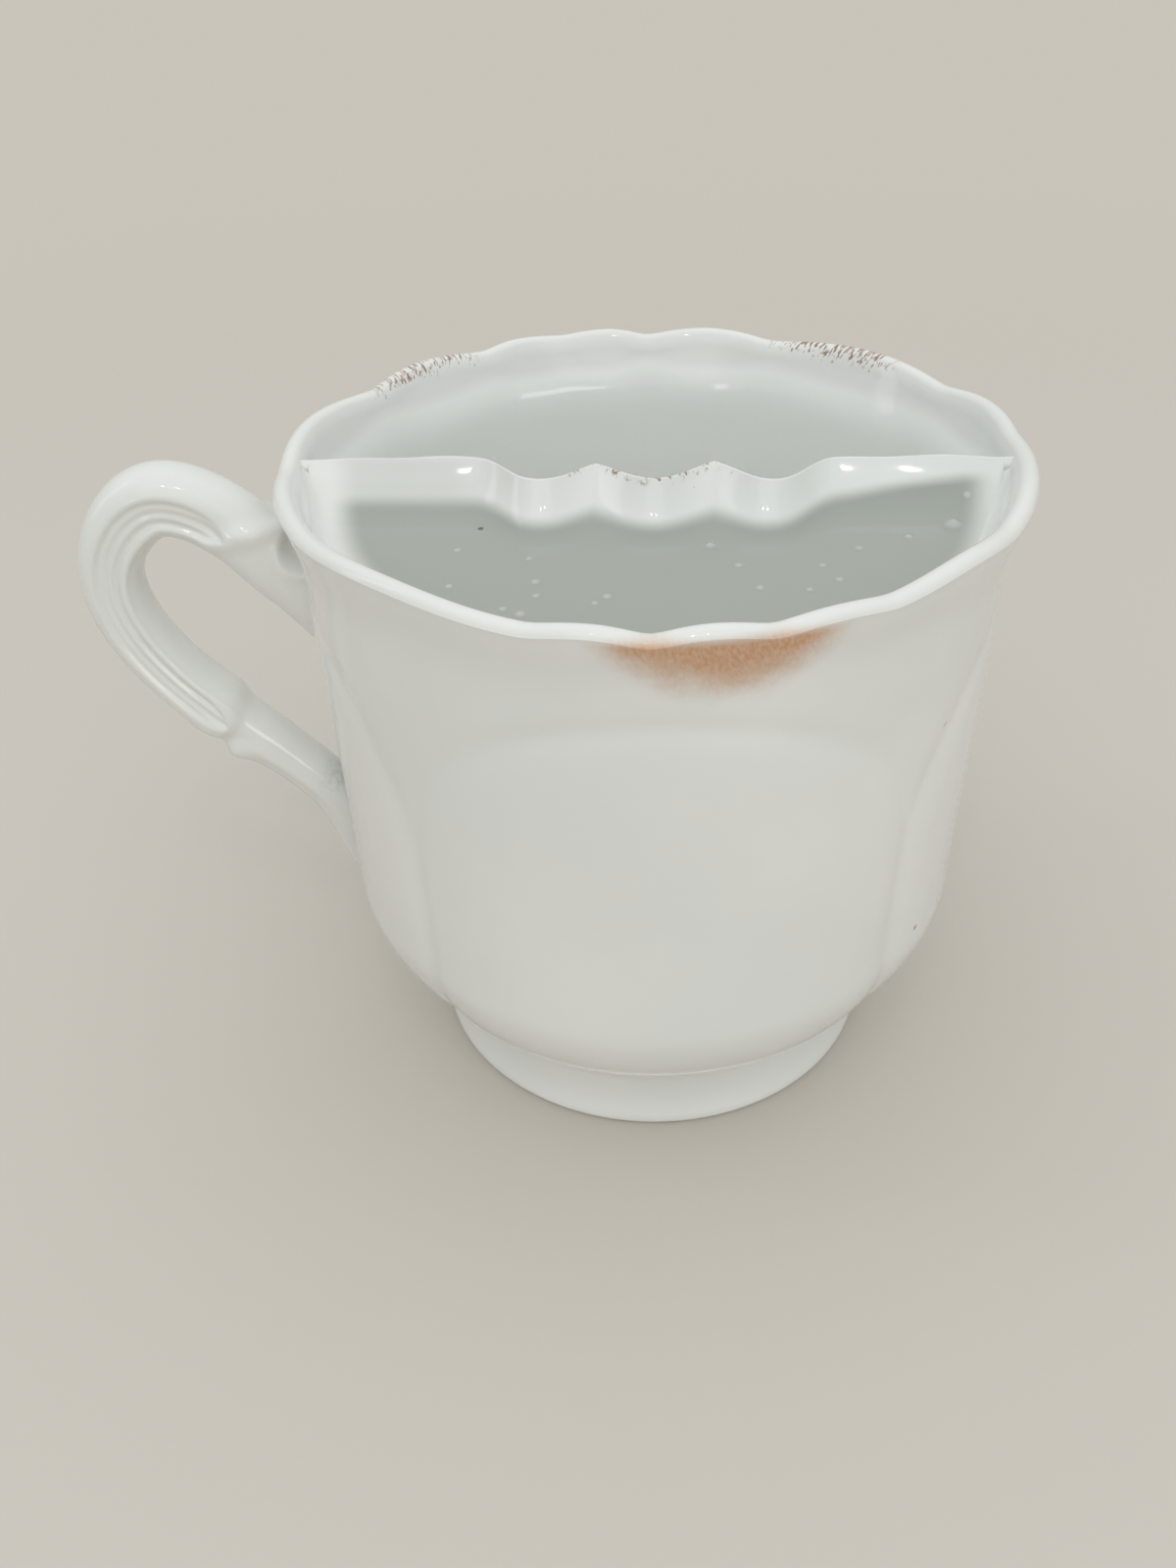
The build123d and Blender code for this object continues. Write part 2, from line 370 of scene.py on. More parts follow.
bodyMarks = {
    # painted light inside the bowl: the inside's radius at the belly, and how far it leans out above that
    "inside": (39.6, 38.9),
    "insideLean": 4.2,
    "insideHeights": (28, 118),
    "paintedLightShare": 0.85,
    # brush strokes round the rim: per degree, slant and stretch
    "stroke": (0.75, 0.25, 0.45),
    "hatchScale": 2.6,
    "driftScale": 0.16,
    # worn gilding inside the far rim
    "giltArcs": [(127, 150), (43, 67)],
    "giltSoft": 3,
    "giltDrift": 3,
    "giltHeights": (85.2, 87.2),
    "giltThick": 0.16,
    "giltGrain": (0.64, 0.74),
    "giltFade": 0.3,
    "giltShare": 0.85,
    # gold rubbed off below the rim, outside, at the drinker's side
    "outside": (42.6, 43.4),
    "rubMiddle": -79,
    "rubHalf": 16,
    "rubArc": (-96, -65),
    "rubSoft": 4,
    "rubCurve": 5,
    "rubDrift": 5,
    "rubHeights": (78.2, 84.9),
    "rubTop": (85.6, 84.0),
    "rubGrain": (0.3, 0.65),
    "rubGrainShare": 0.25,
    "rubShare": 0.95,
    # small dark flaws: place and radius
    "flaws": [
        ((34.6, -25.0, 62.6), 0.75), ((34.4, -25.2, 61.4), 0.5),
        ((34.3, -22.9, 30.1), 0.7), ((-37.2, 16.5, 82.1), 0.5),
    ],
}


def paintBody(glaze, colour, point, x, y, z):
    marks = bodyMarks
    angle = y.sum("ARCTAN2", x) * degrees(1)
    radius = reachOf(x, y)
    perDegree, slant, stretch = marks["stroke"]
    stroke = {0: angle * perDegree + z * slant, 1: z * stretch, 2: 0.0}
    hatch = glaze.noise(glaze.node("ShaderNodeCombineXYZ", None, stroke), marks["hatchScale"])
    drift = glaze.noise(point, marks["driftScale"])
    arcs = sum(window(angle, low, high, marks["giltSoft"]) for low, high in marks["giltArcs"])
    edge = (z + drift * marks["giltDrift"]).within(*marks["giltHeights"])
    specks = (hatch + edge * marks["giltThick"]).within(*marks["giltGrain"])
    specks = specks * arcs * edge.within(0.0, marks["giltFade"])
    turn = (angle - marks["rubMiddle"]) / marks["rubHalf"]
    rub = (z - turn * turn * marks["rubCurve"] + drift * marks["rubDrift"]).within(*marks["rubHeights"])
    rub = rub * window(angle, *marks["rubArc"], marks["rubSoft"])
    rub = rub * radius.within(*marks["outside"]) * z.within(*marks["rubTop"])
    grain = hatch.within(*marks["rubGrain"])
    rub = rub * (grain * marks["rubGrainShare"] + (1 - marks["rubGrainShare"]))
    # the inside of the bowl is painted paler: painted light standing in for light through the wall
    lean = z.within(*marks["insideHeights"]) * marks["insideLean"]
    inside = (radius - lean).within(*marks["inside"])
    colour = glaze.mixColour(inside * marks["paintedLightShare"], colour, glazeLook["inner"])
    colour = glaze.mixColour(rub * marks["rubShare"], colour, glazeLook["smudge"])
    colour = glaze.mixColour(specks * marks["giltShare"], colour, glazeLook["rust"])
    return paintFlaws(glaze, colour, point, marks["flaws"]), rub + specks


def outerRadius(height):
    if height < body["bellyHeight"]:
        share = (body["bellyHeight"] - height) / (body["bellyHeight"] - body["footHeight"])
        tuck = body["bellyRadius"] - body["neckRadius"]
        return body["bellyRadius"] - tuck * share ** body["bowlFullness"]
    share = (height - body["bellyHeight"]) / (body["height"] - body["bellyHeight"])
    flare = fade(height, body["height"] - body["lipHeight"], body["lipHeight"])
    upright = (body["shoulderRadius"] - body["bellyRadius"]) * share ** body["wallFullness"]
    return body["bellyRadius"] + upright + (body["lipRadius"] - body["shoulderRadius"]) * flare ** 2


def innerRadius(height):
    if height >= body["bellyHeight"]:
        return outerRadius(height) - body["wall"]
    share = (body["bellyHeight"] - height) / (body["bellyHeight"] - body["floorHeight"])
    side = body["bellyRadius"] - body["wall"]
    return side - (side - body["floorRadius"]) * share ** body["bowlFullness"]


def lipShare(height):            # how far the scallops have grown at this height
    return fade(height, body["height"] - body["lipHeight"], body["lipHeight"]) ** body["lipCurve"]


def lobe(angle):                 # 1 on the crests of the rim, less in its valleys
    valleys, soft = body["valleys"], body["valleyRound"]
    angle = (angle - valleys[0][0]) % 360 + valleys[0][0]
    ends = valleys + [(valleys[0][0] + 360, valleys[0][1])]
    for (start, nearDepth), (end, farDepth) in zip(ends, ends[1:]):
        if angle <= end:
            share = (angle - start) / (end - start)
            depth = nearDepth if share < 0.5 else farDepth
            swell = (hypot(sin(pi * share), soft) - soft) / (hypot(1, soft) - soft)
            return 1 - depth * (1 - swell)
    return 1.0


def backShare(angle):            # 1 at the back, 0 at the drinker's side
    return fade(sin(radians(angle)), -body["backBlend"], 2 * body["backBlend"])


def rimGrowth(angle, height):    # outward and upward move of the wall near the rim
    share, dip, back = lipShare(height), 1 - lobe(angle), backShare(angle)
    backSwell, frontSwell = body["lobeSwell"]
    backDip, frontDip = body["lobeDip"]
    crest = between(body["crestFront"], body["crestBack"], back)
    outward = crest - body["lipRadius"] - between(frontSwell, backSwell, back) * dip
    upward = -body["rimDrop"] - between(frontDip, backDip, back) * dip
    for middle, spread, rise, inset in body["rimLifts"]:
        lift = bell(turnFrom(angle, middle), spread)
        upward += rise * lift
        outward -= inset * lift
    return share * outward, share * upward


def pillow(angle, height):       # arch-topped panels, raised between soft creases
    half = 180 / body["panels"]
    across = (turnFrom(angle, body["panelTurn"]) + half) % (2 * half) - half
    arch = body["panelTop"] - body["panelShoulder"]
    climb = max((height - body["panelShoulder"]) / arch, 0)
    reach = hypot(across / half, climb)              # 1 on the panel's outline
    low = fade(height, body["footHeight"], body["panelFade"])
    groove = body["panelGroove"] * bell((1 - reach) * arch, body["grooveWidth"])
    return low * (body["panelSwell"] * max(1 - reach ** body["panelFullness"], 0) - groove)


def bodyRings():                 # up the outside, over the rim and down the inside
    under, belly = body["footHeight"], body["bellyHeight"]
    close, floor = body["closeRingsFrom"], body["floorHeight"]
    half = body["wall"] / 2
    top, middle = body["height"] - half, body["lipRadius"] - half
    outside = steps(under, belly, body["bowlRings"])
    outside += steps(belly, close, body["wallRings"])[1:] + steps(close, top, body["lipRings"])[1:]
    inside = steps(top, close, body["lipRings"])
    inside += steps(close, belly, body["insideRings"])[1:] + steps(belly, floor, body["insideRings"])[1:]
    rings = [(radius, under) for radius in body["underside"]]
    rings += [(outerRadius(height), height) for height in outside]
    for turn in steps(0, pi, body["rimRings"])[1:-1]:
        rings.append((middle + half * cos(turn), top + half * sin(turn)))
    rings += [(innerRadius(height), height) for height in inside]
    return rings + [(radius, floor) for radius in body["bowlFloor"]]


def makeBody():
    rings = bodyRings()
    piece = stackRings("cupBody", rings, body["segments"])
    last = (len(rings) - 1) * body["segments"]
    fillLoop(piece, lambda number: number < body["segments"])
    fillLoop(piece, lambda number: number >= last)

    def shape(point):
        angle = degrees(atan2(point.y, point.x))
        radius = hypot(point.x, point.y)
        outward, upward = rimGrowth(angle, point.z)
        if radius > innerRadius(max(point.z, body["floorHeight"])) + body["wall"] / 2:
            outward += pillow(angle, point.z)
        grow = (radius + outward) / radius
        return point.x * grow, point.y * grow, point.z + upward

    moveVertices(piece, shape)
    closeMesh(piece)
    finishPiece(piece, "cup_body", makeGlaze("bodyGlaze", paintBody), 40)


makeBody()


# foot ring
foot = {
    "radius": 31.5,
    "wall": 4.0,
    "edge": 1.1,
    "top": 8.5,
    "segments": 240,
    "flareRings": 12,
    "edgeRings": 6,
    "insideRings": 5,
}


def footRings():
    neck, radius, edge, top = body["neckRadius"], foot["radius"], foot["edge"], foot["top"]
    inTop, inBottom = neck - foot["wall"], radius - foot["wall"]
    rings = []
    for share in steps(0, 1, foot["flareRings"]):        # flare, upright at the neck
        rings.append((neck + (radius - neck) * share ** 2, between(top, edge, share)))
    for turn in steps(0, pi / 2, foot["edgeRings"])[1:]:     # outer edge
        rings.append((radius - edge * (1 - cos(turn)), edge * (1 - sin(turn))))
    for turn in steps(pi / 2, 0, foot["edgeRings"]):     # inner edge
        rings.append((inBottom + edge * (1 - cos(turn)), edge * (1 - sin(turn))))
    for share in steps(0, 1, foot["insideRings"])[1:]:   # inside, up to the top
        rings.append((between(inBottom, inTop, share), between(edge, top, share)))
    return rings + rings[:1]


def makeFoot():
    piece = stackRings("footRing", footRings(), foot["segments"])
    closeMesh(piece)
    finishPiece(piece, "foot_ring", plainGlaze, 40)


makeFoot()


# slip that joins the foot to the bowl: a flat seam with a hollow fillet round it
footLute = {
    "thickness": 0.5,
    "bead": 0.6,
    "fillet": 1.6,
    "climb": 0.9,
    "hollow": 1.1,
    "filletDepth": 1.2,
    "filletRings": 12,
}


def makeFootLute():
    neck, top, fillet = body["neckRadius"], foot["top"], footLute["fillet"]
    low, high = top - fillet, top + fillet * footLute["climb"]
    lowRadius = neck + (foot["radius"] - neck) * (fillet / (top - foot["edge"])) ** 2
    rings = []
    for share in steps(0, 1, footLute["filletRings"]):
        straight = between(lowRadius, outerRadius(high), share)
        rings.append((straight - footLute["hollow"] * share * (1 - share), between(low, high, share)))
    outside, inside = lowRadius - footLute["filletDepth"], neck - foot["wall"] - footLute["bead"]
    seam = top + footLute["thickness"]
    rings += [(outside, seam), (inside, seam), (inside, top), (outside, top)]
    piece = stackRings("footLute", rings + rings[:1], foot["segments"])
    closeMesh(piece)
    finishPiece(piece, "foot_lute", plainGlaze, 40)


makeFootLute()


# moustache guard: a shelf with a wavy, raised edge and a half-moon drinking slot
guard = {
    "thickness": 3.0,
    "edgeHeight": 85.1,
    "lipRise": 5.3,
    "lipWidth": 8.0,
    "slope": 0.06,
    "slopeSoft": 3,
    # plan of the edge from its middle outwards, with crests sharper than its dips
    "wave": [(0.0, -6.6), (7.1, -1.4), (13.2, -6.2), (22.3, 0.0)],
    "waveMiddle": 0.5,
    "peak": 1.28,
    # the foot of the lip follows the wave only loosely
    "footFollow": 0.25,
    "footBulge": (23.0, 10.0, -4.2),
    "nose": 1.2,
    "noseEnd": -50,
    "slotHalf": 21.0,
    "slotDepth": 9.0,
    "sink": 0.6,
    # the edge was trued by hand, so it isn't quite straight: height, turn per mm and start
    "sway": [(0.16, 0.21, 0.8), (0.09, 0.53, 2.0)],
    # small bubbles in the glaze: across, back, size
    "pimples": [
        (7.1, -13.6, 1.0), (10.2, -18.0, 0.7), (-4.3, -24.7, 0.8), (12.4, -22.8, 0.7),
        (24.0, -14.1, 0.7), (29.9, -11.4, 0.8), (35.3, -8.7, 1.7), (37.4, -4.6, 0.7),
        (19.6, -17.9, 0.6), (17.8, -23.1, 0.6), (21.2, -21.0, 0.7), (-22.1, -14.7, 0.7),
        (-13.6, -16.6, 0.6), (-12.4, -21.7, 0.8), (-12.1, -24.6, 0.7), (-22.0, -22.7, 0.7),
        (-15.5, -27.3, 0.7), (-13.5, -28.4, 0.9), (-5.6, -26.0, 0.6),
    ],
    "pimpleRise": 0.5,
    "pimpleWidth": 0.52,
    "underSteep": 1.4,
    "backRound": 0.6,
    "leastTop": 0.2,
    # how finely it is drawn: rows of the top, the nose, the underside and the back edge
    "across": 300,
    "rows": [90, 16, 40, 8],
    "rowCrowd": 1.5,
}
guardMarks = {
    # worn gilding along the middle of the edge
    "giltScale": 1.1,
    "giltHeights": (84.3, 84.9),
    "giltReach": (0.5, 9.5),
    "giltSoft": 0.8,
    "giltGrain": (0.54, 0.6),
    "giltShare": 0.9,
    # thicker, greener glaze pooled on the floor, darkened further as painted shade: it ends this far up the
    # lip, and higher at the right
    "poolAndShadeRise": (1.9, 0.5),
    "poolAndShadeRight": (16, 40),
    "poolAndShadeRightClimb": 2.0,
    "poolAndShadeShare": 0.9,
    # painted shade on the left lip, in the pooled colour
    "leftLipShade": (-14, -26),
    "leftLipShadeRise": (5.6, 4.2),
    "leftLipShadeShare": 0.3,
    # the pooled glaze and its painted shade fade out towards the wall, sooner at the left
    "fadeToWallReach": (41.2, 37.0),
    "fadeToWallLeft": (-10, -30),
    "fadeToWallLeftInset": 1.6,
    # and it is lifted off the bubbles, so their tops are paler: thinner glaze there, and a painted highlight
    "pimpleReach": 0.9,
    "pimpleShare": 0.3,
    # small dark flaws: place and radius
    "flaws": [
        ((-20.0, -9.4, 79.8), 0.5), ((4.2, -6.2, 83.6), 0.35),
        ((5.1, -6.0, 83.4), 0.25), ((12.0, -6.6, 84.0), 0.3),
    ],
}
guardFloor = guard["edgeHeight"] - guard["lipRise"]


def paintGuard(glaze, colour, point, x, y, z):
    marks = guardMarks
    grain = glaze.noise(point, marks["giltScale"], rough=0.65).within(*marks["giltGrain"])
    gilt = z.within(*marks["giltHeights"]) * window(abs(x), *marks["giltReach"], marks["giltSoft"]) * grain
    rise = z - (y + guard["nose"] + guard["lipWidth"]) * guard["slope"] - guardFloor
    # darker floor of the guard: pooled glaze and painted shade
    poolAndShade = (rise - x.within(*marks["poolAndShadeRight"]) * marks["poolAndShadeRightClimb"]).within(*marks["poolAndShadeRise"])
    # painted shade on the left lip
    left = x.within(*marks["leftLipShade"]) * rise.within(*marks["leftLipShadeRise"])
    poolAndShade = poolAndShade + (1 - poolAndShade) * left * marks["leftLipShadeShare"]
    inset = x.within(*marks["fadeToWallLeft"]) * marks["fadeToWallLeftInset"]
    fadeToWall = (reachOf(x, y) + inset).within(*marks["fadeToWallReach"])
    # paler bubble tops: thinner glaze and a painted highlight
    tops = [((across, back, guardTop(across, back)), size * marks["pimpleReach"])
            for across, back, size in guard["pimples"]]
    fadeToWall = fadeToWall * (1 - glaze.spots(point, tops) * marks["pimpleShare"])
    colour = glaze.mixColour(poolAndShade * fadeToWall * marks["poolAndShadeShare"], colour, glazeLook["pooledGlazeAndShade"])
    colour = glaze.mixColour(gilt * marks["giltShare"], colour, glazeLook["rust"])
    return paintFlaws(glaze, colour, point, marks["flaws"]), gilt


def edgeLine(across):            # plan line of the free edge
    reach = abs(across - guard["waveMiddle"])
    for (near, low), (far, high) in zip(guard["wave"], guard["wave"][1:]):
        if reach < far:
            share = (reach - near) / (far - near)
            if far == guard["wave"][-1][0]:              # flattens out at both ends
                return between(low, high, share ** 3 * (10 - 15 * share + 6 * share ** 2))
            rise = share if high > low else 1 - share     # 1 at the crest, which is the sharper end
            swing = (1 - cos(pi * rise / guard["peak"])) / (1 - cos(pi / guard["peak"]))
            return between(min(low, high), max(low, high), swing)
    return 0.0


def wallReach(angle, height):    # inside of the wall, with the rim's growth
    return innerRadius(height) + rimGrowth(angle, height)[0]


def backLine(across):            # plan line of the wall, or of the slot's edge
    half = guard["slotHalf"]
    reach = innerRadius(guardFloor)
    if abs(across) < half:
        endY = -sqrt(reach ** 2 - half ** 2)
        return between(endY, guard["slotDepth"] - reach, 1 - (across / half) ** 2)
    y = -sqrt(max(reach ** 2 - across ** 2, 0))
    for step in range(8):        # the wall leans, so the line is closed in on
        angle = degrees(atan2(y, across))
        radius = wallReach(angle, guardTop(across, y)) + guard["sink"]
        y = -sqrt(max(radius ** 2 - across ** 2, 0))
    return y


def guardSway(across):
    return sum(height * sin(pace * across + start) for height, pace, start in guard["sway"])


def lipFoot(across):             # plan line where the lip runs out into the floor
    far, soft, depth = guard["footBulge"]
    bulge = depth * ease((far - abs(across - guard["waveMiddle"])) / soft)
    return between(bulge, edgeLine(across), guard["footFollow"]) - guard["nose"] - guard["lipWidth"]


def guardTop(across, y):         # height of the top face
    start, foot = edgeLine(across) - guard["nose"], lipFoot(across)
    rise = guard["lipRise"] * min(max((y - foot) / (start - foot), 0), 1) ** 2
    sway = guardSway(across) * rise / guard["lipRise"]
    lump = 0.0
    for x, back, size in guard["pimples"]:
        lump += guard["pimpleRise"] * size * bell(hypot(across - x, y - back), guard["pimpleWidth"] * size)
    inward = -guard["nose"] - guard["lipWidth"] - y
    fall = guard["slope"] * (inward + hypot(inward, guard["slopeSoft"])) / 2
    return guardFloor + rise + sway + lump - fall


def guardPoint(across, row):     # walks round a section: over the top and the nose, and back underneath
    nose, thickness = guard["nose"], guard["thickness"]
    noseY = edgeLine(across) - nose
    noseZ = guard["edgeHeight"] + guardSway(across) - nose
    backY = min(backLine(across), noseY - guard["leastTop"])
    top, tip, under, back = guard["rows"]
    if row <= top:
        y = between(backY, noseY, 1 - (1 - row / top) ** guard["rowCrowd"])
        return across, y, guardTop(across, y)
    row -= top
    if row <= tip:
        turn = radians(between(90, guard["noseEnd"], row / tip))
        return across, noseY + nose * cos(turn), noseZ + nose * sin(turn)
    row -= tip
    if row <= under:
        turn = radians(guard["noseEnd"])
        startY, startZ = noseY + nose * cos(turn), noseZ + nose * sin(turn)
        y = between(startY, backY, row / under)
        flat = guardTop(across, min(y - nose, noseY)) - thickness
        return across, y, between(startZ, flat, ease((startY - y) / guard["lipWidth"] * guard["underSteep"]))
    row -= under
    turn = radians(between(-90, 90, row / back))
    middle = guardTop(across, backY) - thickness / 2
    return across, backY - guard["backRound"] * cos(turn), middle + thickness / 2 * sin(turn)


def makeGuard():
    rows = sum(guard["rows"])
    reach = wallReach(180, guard["edgeHeight"]) + guard["sink"]
    piece = tubeGrid("moustacheGuard", guard["across"], rows)

    def shape(point):
        u, v = shares(point)
        return guardPoint(between(-reach, reach, u), v * rows)

    moveVertices(piece, shape)
    closeEnds(piece)
    finishPiece(piece, "moustache_guard", makeGlaze("guardGlaze", paintGuard))


makeGuard()


# slip smoothed into the corner between the guard and the wall
guardLute = {
    "left": (183.0, 238.0),
    "right": (302.0, 357.0),
    "size": 2.4,
    "endSize": 0.55,
    # share of the section that is its hollow face, and how deep its edges are set into wall and floor
    "faceShare": 0.7,
    "wallSink": 0.15,
    "floorSink": 0.12,
    "lowest": 0.6,
    "wallInset": 0.4,
    # middle of its buried back
    "backReach": 0.5,
    "backDrop": 1.5,
    "along": 120,
    "around": 14,
}


def makeGuardLute(name, node, low, high):
    piece = tubeGrid(name, guardLute["around"], guardLute["along"])
    face, ends, sink = guardLute["faceShare"], guardLute["endSize"], guardLute["wallSink"]

    def shape(point):
        u, v = shares(point)
        angle = between(low, high, v)
        turn = Vector((cos(radians(angle)), sin(radians(angle))))
        wallZ = guardTop(*(turn * (innerRadius(guardFloor) - guardLute["wallInset"])))
        grow = guardLute["size"] * between(ends, 1, ease(4 * v * (1 - v)))

        def floorAt(spot):
            return max(guardTop(*spot) - guardLute["floorSink"], wallZ - guardLute["lowest"])

        if u < face:             # hollow face, from the wall down to the guard
            swing = u / face * pi / 2
            inward, upward = grow * (1 - cos(swing)), grow * (1 - sin(swing))
            spot = turn * (wallReach(angle, wallZ + upward) + sink - inward)
            return spot.x, spot.y, floorAt(spot) + upward
        share = (u - face) / (1 - face)      # buried back
        start = turn * (wallReach(angle, wallZ) + sink - grow)
        end = turn * (wallReach(angle, wallZ + grow) + sink)
        spot = swept(start, turn * (wallReach(angle, wallZ) + guardLute["backReach"]), end, share)
        startZ = guardTop(*start) - guardLute["floorSink"]
        return spot.x, spot.y, swept(startZ, wallZ - guardLute["backDrop"], floorAt(end) + grow, share)

    moveVertices(piece, shape)
    closeEnds(piece)
    finishPiece(piece, node, plainGlaze)


makeGuardLute("guardLuteLeft", "guard_lute_left", *guardLute["left"])
makeGuardLute("guardLuteRight", "guard_lute_right", *guardLute["right"])


# handle: a reeded scroll that springs from the wall, loops over and runs down to a tail
handle = {
    "turn": 4.4,
    "rootHeight": 66.5,
    "rootInset": (5.0, -2.0),
    # knots of the loop, as shares of its reach from the wall and its rise above the root
    "reach": 25.8,
    "rise": 15.0,
    "loop": [
        (0.24, 0.54), (0.49, 0.90), (0.71, 0.99), (0.90, 0.76),
        (1.0, 0.33), (0.91, -0.32), (0.63, -0.97), (0.31, -1.52),
    ],
    # knots of the tail: share of the drop that is left, and distance from the wall
    "tailHeight": 20.0,
    "tail": [(0.69, 3.2), (0.43, 1.3), (0.19, 0.6), (0.0, -0.8)],
    "end": 0.998,
    # place along the handle, thickness and depth
    "sizes": [
        (0.0, 12.4, 10.4), (0.105, 9.9, 9.0), (0.18, 8.7, 8.6), (0.295, 9.0, 8.8),
        (0.43, 7.6, 8.8), (0.58, 7.6, 8.8), (0.628, 8.3, 9.0), (0.66, 7.0, 7.6),
        (0.69, 7.0, 7.4), (0.75, 6.4, 7.0), (0.848, 6.4, 7.0), (1.0, 3.4, 4.4),
    ],
    "fullness": 0.85,
    # channel along the sides, with reeds on its floor; its outer roll falls off softly, the inner one sharply
    "channel": (0.19, 0.257, 0.595, 0.648),
    "channelDepth": 0.7,
    "channelHalf": 0.52,
    "channelMiddle": -0.06,
    "channelRolls": (0.36, 0.2),
    "reedDepth": 0.11,
    "reedPitch": 0.29,
    "reedShift": 0.05,
    "around": 192,
    "along": 300,
}
handleOrnament = {
    # rise in mm, place along the handle and spread there
    "knuckle": (0.75, 0.138, 0.016),
    "boss": (0.45, 0.205, 0.017),
    "spoon": (0.5, 0.647, 0.011),
    "notch": (-0.35, 0.661, 0.008),
    "leaf": (1.0, 0.681, 0.019),
    # rise in mm, place across the section and spread there
    "bead": (0.22, -0.64, 0.09),
    "ridge": (0.3, 0.1, 0.25),
    # where a form starts and ends along the handle, each with its soft stretch
    "beadRun": ((0.27, 0.05), (0.651, 0.02)),
    "ridgeRun": ((0.671, 0.03), (0.9, 0.1)),
    "brinkRun": ((0.06, 0.02), (0.148, 0.02)),
    # where it fades in across the section, or round it for the knuckle, which also slants
    "knuckleSide": (-0.55, 0.9),
    "knuckleSlant": 0.0005,
    "bossSide": (-0.45, 0.3),
    "spoonMiddle": -0.05,
    "notchSide": (-0.2, 0.6),
    "leafSide": (-0.1, 0.8),
    # a scoop on each side of the root, with a raised brink: place and half length, angle and half width
    "scoop": (0.112, 0.034, 26, 54),
    "scoopDepth": 1.6,
    "scoopSoft": 0.95,
    "brink": (0.2, -0.05, 0.3),
}
handleMarks = {
    # soil in the corner above the tail
    "soilPlace": (-44.4, -4.5, 39.8),
    "soilReach": (3.4, 0.6),
    "soilScale": 1.6,
    "soilGrain": (0.42, 0.62),
    "soilShare": 0.32,
}


def paintHandle(glaze, colour, point, x, y, z):
    marks = handleMarks
    grain = glaze.noise(point, marks["soilScale"]).within(*marks["soilGrain"])
    soil = glaze.away(point, marks["soilPlace"]).within(*marks["soilReach"]) * grain
    return glaze.mixColour(soil * marks["soilShare"], colour, glazeLook["soil"]), soil


def handleKnots():
    start = outerRadius(handle["rootHeight"])
    inset, dip = handle["rootInset"]
    knots = [(inset - start, handle["rootHeight"] + dip)]
    for out, up in handle["loop"]:
        knots.append((-start - handle["reach"] * out, handle["rootHeight"] + handle["rise"] * up))
    drop = knots[-1][1] - handle["tailHeight"]
    for share, standOff in handle["tail"]:
        height = handle["tailHeight"] + drop * share
        knots.append((-outerRadius(height) - standOff, height))
    return [Vector(knot) for knot in knots]


def splineThrough(knots, sweeps=200):
    # smooth curve through the knots: even second derivatives, spaced by their chords
    spans = [(far - near).length for near, far in zip(knots, knots[1:])]
    count = len(knots)
    bends = [Vector((0, 0)) for knot in knots]
    for sweep in range(sweeps):
        for number in range(1, count - 1):
            before, after = spans[number - 1], spans[number]
            slope = (knots[number + 1] - knots[number]) / after - (knots[number] - knots[number - 1]) / before
            pull = 6 * slope - before * bends[number - 1] - after * bends[number + 1]
            bends[number] = pull / (2 * (before + after))
    whole = sum(spans)

    def at(share):
        left = share * whole
        number = 0
        while number < count - 2 and left > spans[number]:
            left -= spans[number]
            number += 1
        span = spans[number]
        a, b = (span - left) / span, left / span
        curve = (a ** 3 - a) * bends[number] + (b ** 3 - b) * bends[number + 1]
        return a * knots[number] + b * knots[number + 1] + curve * span ** 2 / 6

    return at


handleLine = splineThrough(handleKnots())


def handleAhead(place, probe=0.002):     # direction of the handle's line
    return (handleLine(min(place + probe, 1)) - handleLine(max(place - probe, 0))).normalized()


def handleSize(place):
    sizes = handle["sizes"]
    for (near, *low), (far, *high) in zip(sizes, sizes[1:]):
        if place <= far:
            share = fade(place, near, far - near)
            return [between(start, end, share) for start, end in zip(low, high)]
    return sizes[-1][1:]


def channelShare(place, across):  # 1 on the floor of the side channel, with a round end
    start, startFull, endFull, end = handle["channel"]
    if not start < place < end:
        return 0.0
    close = max((startFull - place) / (startFull - start), (place - endFull) / (end - endFull), 0)
    half = handle["channelHalf"] * sqrt(max(1 - close ** 2, 0))
    off = across - handle["channelMiddle"]
    outerRoll, innerRoll = handle["channelRolls"]
    return ease((half - abs(off)) / (outerRoll if off > 0 else innerRoll))


def handleRelief(place, turn, across):   # swell and hollows of the surface, in mm
    forms = handleOrnament

    def hump(name, where):
        rise, middle, spread = forms[name]
        return rise * bell(where - middle, spread)

    def run(name):
        (start, startSoft), (end, endSoft) = forms[name]
        return fade(place, start, startSoft) * ease((end - place) / endSoft)

    top = abs(turnFrom(degrees(turn), 0))    # turn away from the outside of the loop
    scoopPlace, scoopHalf, scoopTurn, scoopWidth = forms["scoop"]
    bossMiddle, bossSpread = forms["bossSide"]
    bowl = 1 - ((place - scoopPlace) / scoopHalf) ** 2 - ((top - scoopTurn) / scoopWidth) ** 2
    total = hump("knuckle", place - forms["knuckleSlant"] * top) * fade(cos(turn), *forms["knuckleSide"])
    total -= forms["scoopDepth"] * ease(bowl * forms["scoopSoft"])
    total += hump("brink", bowl) * run("brinkRun")
    total += hump("boss", place) * bell(across - bossMiddle, bossSpread)
    total += hump("spoon", place) * ease(1 - abs(across - forms["spoonMiddle"]))
    total += hump("bead", across) * run("beadRun")
    total += hump("notch", place) * fade(across, *forms["notchSide"])
    total += hump("leaf", place) * fade(across, *forms["leafSide"])
    return total + hump("ridge", across) * run("ridgeRun")


